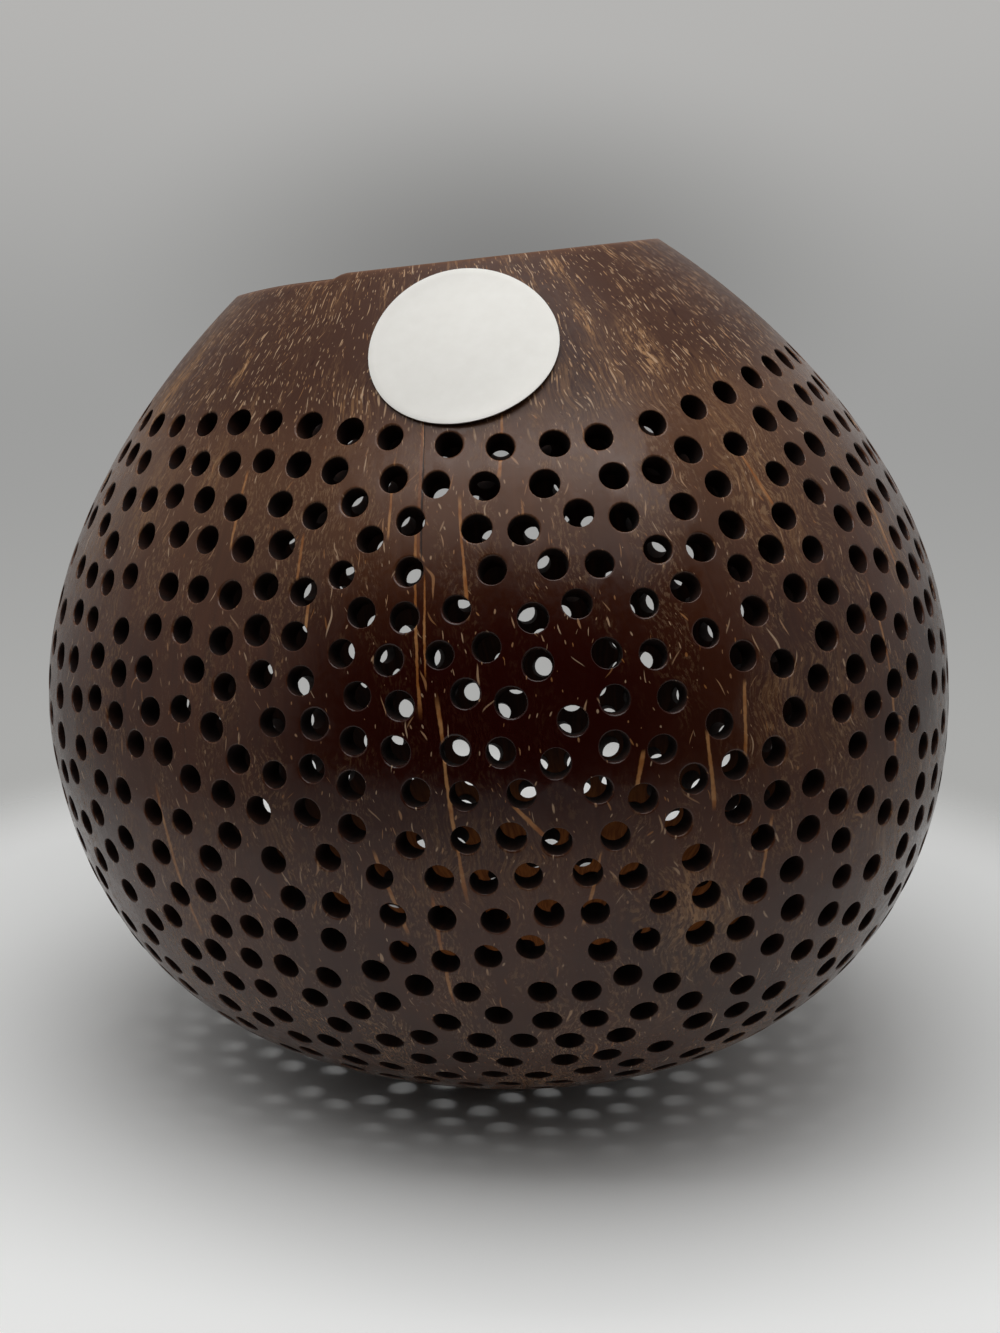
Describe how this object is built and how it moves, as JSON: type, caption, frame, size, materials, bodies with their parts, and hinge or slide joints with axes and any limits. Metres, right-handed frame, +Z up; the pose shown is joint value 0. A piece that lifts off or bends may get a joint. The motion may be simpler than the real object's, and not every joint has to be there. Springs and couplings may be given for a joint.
{
  "type": "carved coconut shell",
  "caption": "Hollow coconut shell with a slanting sawn mouth, a plain neck and small drilled holes all over, with a bare round paper label.",
  "frame": {"origin": "middle of the small flat that the shell stands on", "axes": "+Z up out of the base towards the mouth, -Y towards the side with the label"},
  "size_m": [0.1359, 0.1364, 0.1259],
  "materials": {
    "polished_coconut": "polished coconut shell, mottled dark brown with tan flecks and fine meridian fibres",
    "label_paper": "matt white paper, bare"
  },
  "bodies": {
    "root": {"coconut_shell": "polished_coconut", "paper_label": "label_paper"}
  },
  "joints": []
}
